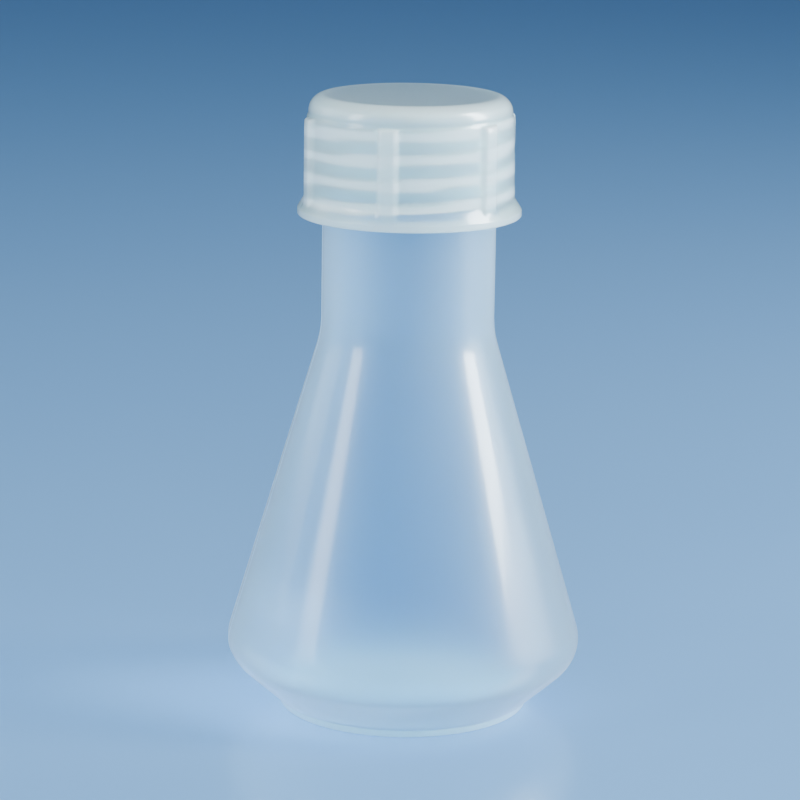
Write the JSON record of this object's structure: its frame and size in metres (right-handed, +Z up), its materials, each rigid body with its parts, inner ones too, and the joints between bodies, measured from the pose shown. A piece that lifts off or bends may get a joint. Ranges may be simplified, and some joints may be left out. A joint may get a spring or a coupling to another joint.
{
  "type": "erlenmeyer flask",
  "caption": "Conical laboratory flask in natural polypropylene with a straight threaded neck, a ribbed screw cap and a sealing disc.",
  "frame": {"origin": "centre of the foot ring, on the plane that the flask stands on", "axes": "+Z up along the flask's own axis; -Y is the side that faces the viewer, and +X is on the viewer's right"},
  "size_m": [0.0642, 0.0642, 0.112],
  "materials": {
    "flask_plastic": "natural translucent polypropylene, milky, satin",
    "cap_plastic": "natural translucent polypropylene, thicker and whiter, softly glossy",
    "disc_plastic": "soft natural polyethylene, matt"
  },
  "bodies": {
    "flask": {"flask_body": "flask_plastic"},
    "seal": {"sealing_disc": "disc_plastic"},
    "cap": {"screw_cap": "cap_plastic"}
  },
  "joints": [
    {"name": "cap_rise", "type": "slide", "parent": "flask", "child": "seal", "axis": [0, 0, 1], "range_m": [0, 0.0245]},
    {"name": "cap_turn", "type": "hinge", "parent": "seal", "child": "cap", "pos_m": [0, 0, 0.1], "axis": [0, 0, 1], "range_deg": [0, 2070]}
  ],
  "couplings": [
    {"joint": "cap_rise", "follows": "cap_turn", "m_per_rad": 0.00067376}
  ]
}
